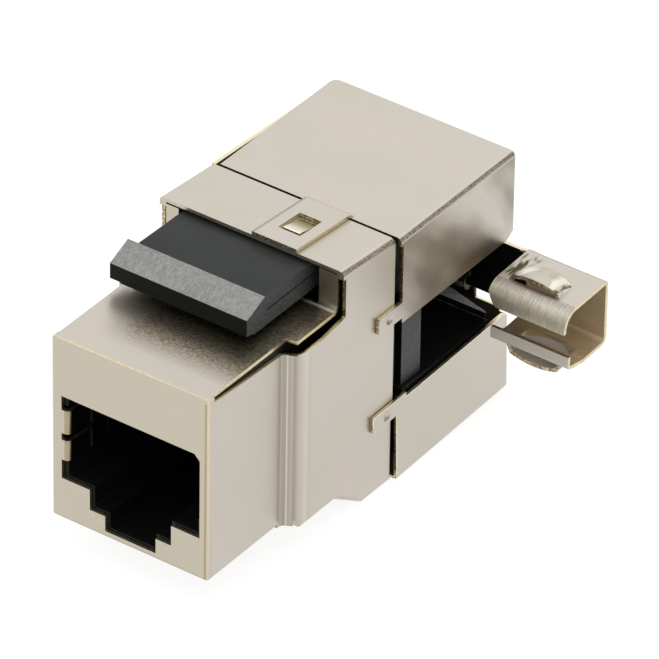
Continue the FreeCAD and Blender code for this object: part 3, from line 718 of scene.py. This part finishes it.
class JACK_OT_shield(bpy.types.Operator):
    """Front shield with its folds, cut edges and socket springs"""
    bl_idname = "jack.shield"
    bl_label = "Front Shield"

    def execute(self, context):
        settings = context.scene.jack_sheet
        finishes = sheet_finishes(settings, shield=True)
        finishes.append(punched_light("punched nickel in painted light"))
        piece = dressed_sheet("front_shield", "shield", settings, finishes,
                              special=self.special, adjust=self.fit)
        finish_piece(piece, "body", ["front_shield"])
        return {"FINISHED"}

    @staticmethod
    def special(point, normal):
        """Springs in the socket, in painted shade, and the catch's wedge under the tongue's slot.
        """
        if inside(point, (-6.9, 0.6, 4), (6.9, 5, 11)):
            return SHADED
        if inside(point, (1.35, CATCH_FRONT, 19.55), (3, CATCH_REAR, INF)):
            return STRUCK
        return None

    @staticmethod
    def fit(work):
        """Lower the left wall's top to the rear, under the cover's edge, and round the nose."""
        roof_rear, fall = 21.45, 0.043
        for vertex in work.verts:
            if inside(vertex.co, (-INF, roof_rear + 0.01, 18), (-8, INF, INF)):
                vertex.co.z -= fall * (vertex.co.y - roof_rear * MM)
        # The nose's upper left front corner is drawn round.
        radius = 0.45
        round_corner(work, (((NOSE_LEFT + radius) * MM, -1), ((NOSE_TOP - radius) * MM, 1)),
                     radius * MM, (X, Z),
                     lambda point: inside(point, (-INF, -INF, 15.4), (-6.5, 0.56, INF)))


class JACK_OT_covers(bpy.types.Operator):
    """Upper and lower rear covers"""
    bl_idname = "jack.covers"
    bl_label = "Rear Covers"

    def execute(self, context):
        settings = context.scene.jack_sheet
        low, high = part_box("upper_cover")
        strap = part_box("cable_clamp")
        hinge_reach, knuckles_right = 1.4 * MM, 6 * MM
        tab_left = 8.3 * MM

        def by_hinge(point, normal):
            """Painted shade on the knuckles and the margin beside them."""
            if point.y > high.y - hinge_reach and point.x < knuckles_right and normal.y < 0.5 \
                    and strap[0].z < point.z < strap[1].z + SHEET:
                return SHADED
            return None

        def rear_corner(work):
            """The rear left corner is drawn round, unlike the others."""
            radius = 0.7 * MM
            round_corner(work, ((low.x + radius, -1), (high.y - radius, 1)), radius, (X, Y),
                         lambda point: True)

        def dimple(point, normal):
            """Walls of the dimple in the side tab, in painted light and shade."""
            return STRUCK if point.x > tab_left and 0.2 < abs(normal.x) < 0.97 else None

        # The upper cover's side gets patches of painted dark reflection.
        for place, patches in (("upper", 0.8), ("lower", 0.0)):
            finishes = sheet_finishes(settings, patches)
            finishes.append(punched_light("punched nickel in painted light"))
            piece = dressed_sheet(f"{place}_cover", f"{place}_rear_cover", settings, finishes,
                                  special=dimple, late=by_hinge,
                                  adjust=rear_corner if place == "upper" else None)
            finish_piece(piece, f"{place}_cover_body", [f"{place}_cover"])
        return {"FINISHED"}


class JACK_OT_clamp(bpy.types.Operator):
    """Cable clamp and the strap that carries it"""
    bl_idname = "jack.clamp"
    bl_label = "Cable Clamp"

    def execute(self, context):
        settings = context.scene.jack_sheet
        finishes = sheet_finishes(settings, crease_shading=True)
        finishes[FOLD] = drawn_roll("drawn roll", settings)
        # The louvres' slopes take painted light and shade, the channel's inside painted shade.
        finishes.append(louvre_light("louvre light nickel"))
        finishes.append(painted_light_copy("channel shade nickel"))
        # Painted light: a lighter copy of the plating, for faces that lie in shade.
        finishes.append(painted_light_copy("lit copy nickel", linear("#d6cfc2"), linear("#e6dfd3")))
        special, late = self.classes()
        piece = dressed_sheet("cable_clamp", "clamp_and_strap", settings, finishes,
                              special=special, late=late)
        finish_piece(piece, "body", ["cable_clamp"])
        self.shadow_sheet()
        return {"FINISHED"}

    @staticmethod
    def classes():
        """Functions that tell the clamp's inside, its louvres and its hidden strap apart."""
        low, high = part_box("cable_clamp")
        middle = (low.z + high.z) / 2
        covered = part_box("upper_cover")[1].x
        web_front, strap_front = high.y - 1.2 * MM, high.y - 0.5 * MM
        slots_right, lip_inner = 6 * MM, 13.2 * MM

        def special(point, normal):
            """Painted shade in the channel, and painted light on the louvres' slopes outside it."""
            inwards = normal.z * (1 if point.z < middle else -1)
            if normal.y < -0.7 and point.y > web_front or inwards > 0.7:
                return INNER
            if abs(normal.z) > 0.1:
                return STRUCK if -0.985 < inwards < 0 else INNER if inwards > 0 else None
            return None

        def late(point, normal):
            """The strap under the covers, the lower lip's top and face, and the lower flange."""
            # Painted shade on the strap under the covers.
            if point.x < covered and (point.y < strap_front or
                                      point.x < slots_right and normal.y < 0.3):
                return SHADED
            # Painted highlight on the lower lip's folded top.
            if normal.z > 0.4 and inside(point, (-INF, -INF, 6.9), (INF, 31.9, 7.3)):
                return LIP if point.x > lip_inner else None
            # Painted lighter copy on the lower louvre's hollow and on the lower lip's face.
            if normal.z > 0.25 and inside(point, (-INF, 31.52, -INF), (INF, INF, 5.75)) or \
                    normal.y < -0.7 and inside(point, (-INF, -INF, 6), (INF, 31.6, 7.2)):
                return LIT_COPY
            # Painted shade on the lower flange.
            if normal.z > 0.25 and inside(point, (-INF, 31.7, -INF), (INF, INF, 6.6)):
                return INNER
            return None

        return special, late

    def shadow_sheet(self):
        """Thin black sheet on the strap's front where the cable lies: painted shade and dark
        reflection.
        """
        strap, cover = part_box("cable_clamp")[1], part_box("upper_cover")[1]
        size = Vector((5.1, 0.07, 4.9)) * MM
        place = Vector((cover.x - 0.7 * MM, strap.y - 0.58 * MM, 8.78 * MM))
        work = bmesh.new()
        bmesh.ops.create_cube(work, size=1.0)
        for vertex in work.verts:
            vertex.co = Vector(a * b for a, b in zip(vertex.co, size)) + place
        piece = into_object(work, "painted_shadow_sheet")
        piece.data.materials.append(
            moulded_plastic("black_paint film", linear("#0c0c0c"), 0.4, shine=0.15))
        soften(piece, THIN_EDGE)
        bake_modifiers(piece)
        finish_piece(piece, "body")


class JACK_OT_latch(bpy.types.Operator):
    """Black latch with its sloped lip"""
    bl_idname = "jack.latch"
    bl_label = "Latch"

    def execute(self, context):
        settings = context.scene.jack_moulding
        plain = moulded_plastic("latch polycarbonate", settings.latch_black, 0.45, shine=0.3)
        rubbed = moulded_plastic("rubbed polycarbonate", settings.scuffed, 0.5, 0.12, 0.85,
                                 pale=linear("#b2b1ac"))
        # Painted shade: a darker copy of the latch's plastic for its front faces.
        shaded = moulded_plastic("matt polycarbonate in painted shade", linear("#1b1c1a"), 0.6, shine=0.1)
        # Painted light: a lighter copy for its right faces, with a few scuffs.
        right_lit = moulded_plastic("chafed polycarbonate", linear("#323637"), 0.5, 0.1, 0.16)
        piece = dressed_moulding("latch", "keystone_latch", settings.latch_round, plain, 3,
                                 self.flush)
        for finish in (rubbed, shaded, right_lit):
            piece.data.materials.append(finish)
        ramp, front, right = 1, 2, 3
        for polygon in piece.data.polygons:
            if polygon.normal.y < -0.2 and polygon.normal.z > 0.5:
                polygon.material_index = ramp
            elif polygon.normal.y < -0.7:
                polygon.material_index = front
            elif polygon.normal.x > 0.7:
                polygon.material_index = right
        finish_piece(piece, "latch_body", ["latch"])
        return {"FINISHED"}

    @staticmethod
    def flush(work):
        """Lay the arm's end flush with the sloped lip."""
        arm_end, lip_top, slope, run = 8.6, 19.6, 0.426, 0.83
        for vertex in work.verts:
            if inside(vertex.co, (-INF, arm_end - 0.02, 19.2), (INF, arm_end + 0.02, INF)):
                vertex.co.z = (lip_top - slope * run) * MM


class JACK_OT_mouldings(bpy.types.Operator):
    """Socket, comb, core and terminal blocks"""
    bl_idname = "jack.mouldings"
    bl_label = "Inner Mouldings"

    def execute(self, context):
        settings = context.scene.jack_moulding
        black = moulded_plastic("socket polycarbonate", settings.socket_black, 0.5, shine=0.2)
        white = moulded_plastic("block nylon", settings.block_white, 0.5)
        for node, name, finish, slot in (
                ("plug_housing", "socket_housing", black, "black_plastic"),
                ("contact_carrier", "contact_comb", black, "black_plastic"),
                ("wiring_core", "core", black, "black_plastic"),
                ("terminal_block_upper", "upper_terminals", white, "white_plastic"),
                ("terminal_block_lower", "lower_terminals", white, "white_plastic")):
            piece = dressed_moulding(node, name, settings.socket_round, finish)
            if node == "wiring_core":
                self.painted_light_faces(piece)
            finish_piece(piece, "body", [node])
        board = dressed_moulding("circuit_board", "board", THIN_EDGE, solder_mask("solder mask"))
        finish_piece(board, "body", ["circuit_board"])
        return {"FINISHED"}

    @staticmethod
    def painted_light_faces(piece):
        """Painted light: a grey highlight on the rear guide's top, and the right rib's face paler
        than the rest.
        """
        piece.data.materials.append(moulded_plastic(
            "core highlight", linear("#b9b9b5"), 0.35, 0.1, 0.7, pale=linear("#e4e4e0")))
        piece.data.materials.append(
            moulded_plastic("core lit rib", linear("#2a2c2d"), 0.45, 0.1, 0.12))
        guide, rib = 1, 2
        for polygon in piece.data.polygons:
            middle, normal = polygon.center, polygon.normal
            if normal.z > 0.5 and inside(middle, (-INF, 34.1, -INF), (INF, INF, 6)):
                polygon.material_index = guide
            elif normal.x > 0.5 and inside(middle, (7.7, 22, -INF), (8.05, 26, INF)):
                polygon.material_index = rib


class JACK_OT_contacts(bpy.types.Operator):
    """Row of eight spring contacts, drawn round along one path"""
    bl_idname = "jack.contacts"
    bl_label = "Contacts"

    def execute(self, context):
        settings = context.scene.jack_wire
        finish = plated_wire("gold-plated bronze", settings.gold, 0.22)
        low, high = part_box("contact_1")
        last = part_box(f"contact_{settings.count}")
        pitch = ((last[0] + last[1]).x - (low + high).x) / 2 / (settings.count - 1)
        x = (low.x + high.x) / 2
        back = high.y / MM - 0.02
        path = ((back, 12.2), (12.6, 12.2), (4.7, 9.0), (3.8, 9.7))      # Y and Z in mm
        mesh = bpy.data.meshes.new("contact_springs")
        mesh.from_pydata([(x, y * MM, z * MM) for y, z in path], [(0, 1), (1, 2), (2, 3)], [])
        piece = bpy.data.objects.new("contact_springs", mesh)
        context.scene.collection.objects.link(piece)
        tree, sockets = self.row_tree()
        modifier = piece.modifiers.new("row", "NODES")
        modifier.node_group = tree
        for label, value in (("Count", settings.count), ("Pitch", pitch),
                             ("Wire", settings.wire), ("Bend", settings.bend), ("Finish", finish)):
            modifier[sockets[label]] = value
        bake_modifiers(piece)
        smooth(piece, angle=40)
        finish_piece(piece, "contacts_body",
                     [f"contact_{i + 1}" for i in range(settings.count)])
        return {"FINISHED"}

    @staticmethod
    def row_tree():
        """Geometry Nodes tree that draws a wire along a path and repeats it to the right."""
        tree = bpy.data.node_groups.new("Contact row", "GeometryNodeTree")
        face = tree.interface
        face.new_socket("Geometry", in_out="INPUT", socket_type="NodeSocketGeometry")
        sockets = {}
        for label, kind in (("Count", "NodeSocketInt"), ("Pitch", "NodeSocketFloat"),
                            ("Wire", "NodeSocketFloat"), ("Bend", "NodeSocketFloat"),
                            ("Finish", "NodeSocketMaterial")):
            sockets[label] = face.new_socket(label, in_out="INPUT", socket_type=kind).identifier
        face.new_socket("Geometry", in_out="OUTPUT", socket_type="NodeSocketGeometry")
        given = add(tree, "NodeGroupInput").outputs
        curve = add(tree, "GeometryNodeMeshToCurve", {0: given["Geometry"]})
        eased = add(tree, "GeometryNodeFilletCurve", {
            "Curve": curve, "Radius": given["Bend"], "Count": 8}, mode="POLY")
        radius = add(tree, "ShaderNodeMath", {0: given["Wire"], 1: 0.5}, operation="MULTIPLY")
        ring = add(tree, "GeometryNodeCurvePrimitiveCircle", {
            "Resolution": 12, "Radius": radius})
        wire = add(tree, "GeometryNodeCurveToMesh", {
            "Curve": eased, "Profile Curve": ring, "Fill Caps": True})
        step = add(tree, "ShaderNodeCombineXYZ", {"X": given["Pitch"]})
        row = add(tree, "GeometryNodeMeshLine", {"Count": given["Count"], "Offset": step})
        placed = add(tree, "GeometryNodeInstanceOnPoints", {"Points": row, "Instance": wire})
        real = add(tree, "GeometryNodeRealizeInstances", {0: placed})
        done = add(tree, "GeometryNodeSetMaterial", {
            "Geometry": real, "Material": given["Finish"]})
        add(tree, "NodeGroupOutput", {0: done})
        return tree, sockets


class JACK_OT_blades(bpy.types.Operator):
    """Forked terminal blades"""
    bl_idname = "jack.blades"
    bl_label = "Terminal Blades"

    def execute(self, context):
        settings = context.scene.jack_wire
        finish = plated_wire("tinned bronze", settings.tin, 0.35)
        for number in range(1, settings.count + 1):
            node = f"idc_blade_{number}"
            piece = dressed_moulding(node, f"blade_{number}", THIN_EDGE, finish)
            finish_piece(piece, "body", [node])
        return {"FINISHED"}


class JACK_OT_stage(bpy.types.Operator):
    """Floor, lamps, world and camera"""
    bl_idname = "jack.stage"
    bl_label = "Stage"

    def execute(self, context):
        settings = context.scene.jack_stage
        scene = context.scene
        scene.view_settings.view_transform = "Standard"
        self.floor(CAD_BOX[0].z)
        self.world(scene)
        centre = (CAD_BOX[0] + CAD_BOX[1]) / 2
        for name, offset, size, power in (
                ("key", (0.2, -0.15, 0.55), 0.35, settings.key),
                ("back", (-0.25, 0.5, 0.45), 0.4, settings.key * 0.4)):
            self.lamp(name, centre, Vector(offset), size, power)
        self.camera(scene, settings)
        return {"FINISHED"}

    def floor(self, height):
        """White paper sweep, which glows just enough to look white where it is seen."""
        mesh = bpy.data.meshes.new("floor")
        half = 1.5
        mesh.from_pydata([(-half, -half, height), (half, -half, height),
                          (half, half, height), (-half, half, height)], [], [(0, 1, 2, 3)])
        floor = bpy.data.objects.new("floor", mesh)
        bpy.context.scene.collection.objects.link(floor)
        made, tree = material("white sweep")
        paper = add(tree, "ShaderNodeBsdfDiffuse", {"Color": 0.3})
        glow = add(tree, "ShaderNodeEmission", {"Color": 1.0, "Strength": 0.82})
        lit = add(tree, "ShaderNodeAddShader", {0: paper, 1: glow})
        both = add(tree, "ShaderNodeMixShader", {0: self.seen_directly(tree), 1: paper, 2: lit})
        add(tree, "ShaderNodeOutputMaterial", {"Surface": both})
        mesh.materials.append(made)

    def seen_directly(self, tree):
        """1 for the camera and for what metal and glass mirror or pass."""
        path = add(tree, "ShaderNodeLightPath").outputs
        seen = path["Is Camera Ray"]
        for ray in ("Is Glossy Ray", "Is Transmission Ray"):
            seen = add(tree, "ShaderNodeMath", {0: seen, 1: path[ray]}, operation="MAXIMUM")
        return seen

    def world(self, scene):
        """Even tent of light, seen as plain white."""
        world = bpy.data.worlds.new("studio")
        world.use_nodes = True
        tree = world.node_tree
        tree.nodes.clear()
        tent = add(tree, "ShaderNodeBackground", {"Color": (0.97, 0.98, 1.0), "Strength": 0.85})
        white = add(tree, "ShaderNodeBackground", {"Color": 1.0, "Strength": 1.0})
        both = add(tree, "ShaderNodeMixShader", {0: self.seen_directly(tree), 1: tent, 2: white})
        add(tree, "ShaderNodeOutputWorld", {"Surface": both})
        scene.world = world

    def lamp(self, name, centre, offset, size, power):
        """Round soft lamp that points at the centre."""
        data = bpy.data.lights.new(name, "AREA")
        data.shape = "DISK"
        data.size = size
        data.energy = power
        lamp = bpy.data.objects.new(name, data)
        lamp.location = centre + offset
        lamp.rotation_euler = (-offset).to_track_quat("-Z", "Y").to_euler()
        bpy.context.scene.collection.objects.link(lamp)

    def camera(self, scene, settings):
        """Camera that looks a little right of and above the nose's body."""
        a, e = settings.azimuth, settings.elevation
        look = Vector((-math.sin(a) * math.cos(e), math.cos(a) * math.cos(e), -math.sin(e)))
        right = Vector((math.cos(a), math.sin(a), 0))
        up = right.cross(look)
        body, aside, above = Vector((0, 17.5, 9.0)) * MM, 4.388 * MM, 0.866 * MM
        target = body + right * aside + up * above
        turn = Matrix.Rotation(settings.roll, 3, look)
        axes = Matrix((turn.transposed() @ right, turn.transposed() @ up, -look)).transposed()
        data = bpy.data.cameras.new("camera")
        data.sensor_width = 36
        data.lens = settings.lens
        data.clip_start = 0.05
        data.clip_end = 20
        camera = bpy.data.objects.new("camera", data)
        camera.matrix_world = Matrix.Translation(target - look * settings.distance) @ axes.to_4x4()
        scene.collection.objects.link(camera)
        scene.camera = camera


class JACK_PT_panel(bpy.types.Panel):
    """Sidebar list of the jack's pieces"""
    bl_idname = "JACK_PT_panel"
    bl_label = "Keystone Jack"
    bl_space_type = "VIEW_3D"
    bl_region_type = "UI"
    bl_category = "Jack"

    def draw(self, context):
        for operator in OPERATORS:
            self.layout.operator(operator.bl_idname)
        for group in GROUPS:
            box = self.layout.box()
            settings = getattr(context.scene, group)
            for key in settings.__annotations__:
                box.prop(settings, key)


OPERATORS = (JACK_OT_stage, JACK_OT_shield, JACK_OT_covers, JACK_OT_clamp, JACK_OT_latch,
             JACK_OT_mouldings, JACK_OT_contacts, JACK_OT_blades)
GROUPS = {"jack_sheet": JackSheetSettings, "jack_moulding": JackMouldingSettings,
          "jack_wire": JackWireSettings, "jack_stage": JackStageSettings}


def register():
    for item in (*GROUPS.values(), *OPERATORS, JACK_PT_panel):
        bpy.utils.register_class(item)
    for name, group in GROUPS.items():
        setattr(bpy.types.Scene, name, PointerProperty(type=group))


def unregister():
    for name in GROUPS:
        delattr(bpy.types.Scene, name)
    for item in (JACK_PT_panel, *reversed(OPERATORS), *reversed(GROUPS.values())):
        bpy.utils.unregister_class(item)


def main():
    register()
    for name in ("stage", "shield", "covers", "clamp", "latch", "mouldings", "contacts",
                 "blades"):
        getattr(bpy.ops.jack, name)()


if __name__ == "__main__":
    main()
